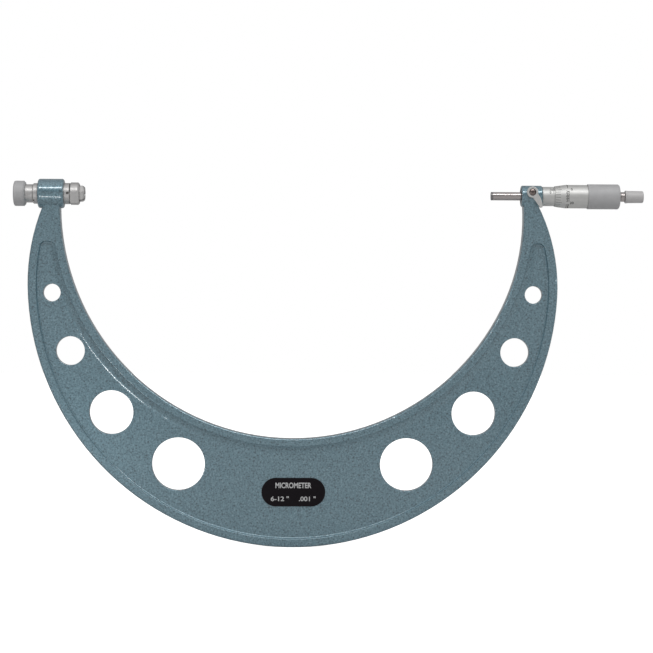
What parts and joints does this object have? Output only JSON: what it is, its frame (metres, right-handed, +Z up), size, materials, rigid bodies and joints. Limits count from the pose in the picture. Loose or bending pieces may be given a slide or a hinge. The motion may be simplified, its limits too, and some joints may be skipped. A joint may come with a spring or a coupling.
{
  "type": "outside micrometer",
  "caption": "Large outside micrometer: crescent cast frame with lightening holes, collet socket for interchangeable anvils, screw spindle with graduated thimble, ratchet stop and lock lever.",
  "frame": {"origin": "centre of the anvil socket's mouth, on the measuring axis", "axes": "+X along the measuring axis from the anvil socket to the spindle and thimble, +Z up with the crescent frame hanging below, front with the lever and plate facing -Y"},
  "size_m": [0.481, 0.0224, 0.2802],
  "materials": {
    "hammertone_enamel": "hammertone enamel, blue-grey, semi-gloss",
    "black_plate": "black, semi-gloss",
    "satin_steel": "turned, satin",
    "satin_chrome": "satin chrome plate",
    "knurled_chrome": "matte chrome, fine knurl",
    "polished_steel": "ground and polished",
    "carbide": "lapped",
    "hard_steel": "turned",
    "spring_steel": "drawn wire",
    "dark_screw": "polished, darkened",
    "brass": "turned"
  },
  "bodies": {
    "frame": {"frame": "hammertone_enamel", "range_plate": "black_plate", "anvil_sleeve": "satin_steel", "holder_ring_nut": "satin_steel", "anvil_collet": "satin_steel", "stop_key": "hard_steel", "knob_ring": "spring_steel", "inner_sleeve": "hard_steel", "adjusting_nut": "hard_steel", "lock_shoe": "brass"},
    "adjusting_knob": {"adjusting_knob": "knurled_chrome"},
    "stop": {"stop_plunger": "hard_steel"},
    "collet_nut": {"collet_nut": "satin_steel"},
    "sleeve": {"graduated_sleeve": "satin_chrome"},
    "lock_lever": {"lock_lever": "satin_chrome", "lock_stud": "hard_steel", "lock_screw": "dark_screw"},
    "feed": {"thrust_washer": "hard_steel"},
    "thimble": {"spindle": "polished_steel", "spindle_tip": "carbide", "thimble": "satin_chrome", "thimble_grip": "knurled_chrome", "ratchet_stem": "polished_steel", "ratchet_screw": "dark_screw"},
    "ratchet": {"ratchet_knob": "knurled_chrome", "ratchet_pawl": "hard_steel", "ratchet_spring": "spring_steel"}
  },
  "joints": [
    {"name": "spindle_feed", "type": "slide", "parent": "frame", "child": "feed", "axis": [1, 0, 0], "range_m": [-0.00381, 0.02159]},
    {"name": "thimble_turn", "type": "hinge", "parent": "feed", "child": "thimble", "pos_m": [0.38, 0, 0], "axis": [1, 0, 0], "range_deg": [-2160, 12240]},
    {"name": "ratchet_turn", "type": "hinge", "parent": "thimble", "child": "ratchet", "pos_m": [0.42, 0, 0], "axis": [1, 0, 0], "continuous": true},
    {"name": "lock_lever_turn", "type": "hinge", "parent": "frame", "child": "lock_lever", "pos_m": [0.3412, -0.009, 0.0027], "axis": [0, 1, 0], "range_deg": [0, 60]},
    {"name": "sleeve_zero_turn", "type": "hinge", "parent": "frame", "child": "sleeve", "pos_m": [0.365, 0, 0], "axis": [1, 0, 0], "range_deg": [-15, 15]},
    {"name": "collet_nut_turn", "type": "hinge", "parent": "frame", "child": "collet_nut", "pos_m": [-0.0075, 0, 0], "axis": [1, 0, 0], "range_deg": [-30, 180]},
    {"name": "adjusting_knob_turn", "type": "hinge", "parent": "frame", "child": "adjusting_knob", "pos_m": [-0.05, 0, 0], "axis": [1, 0, 0], "range_deg": [-1080, 1080]},
    {"name": "stop_feed", "type": "slide", "parent": "frame", "child": "stop", "axis": [1, 0, 0], "range_m": [-0.0015, 0.0015]}
  ],
  "couplings": [
    {"joint": "thimble_turn", "follows": "spindle_feed", "rad_per_m": 9894.8},
    {"joint": "stop_feed", "follows": "adjusting_knob_turn", "m_per_rad": -0.000079577}
  ]
}
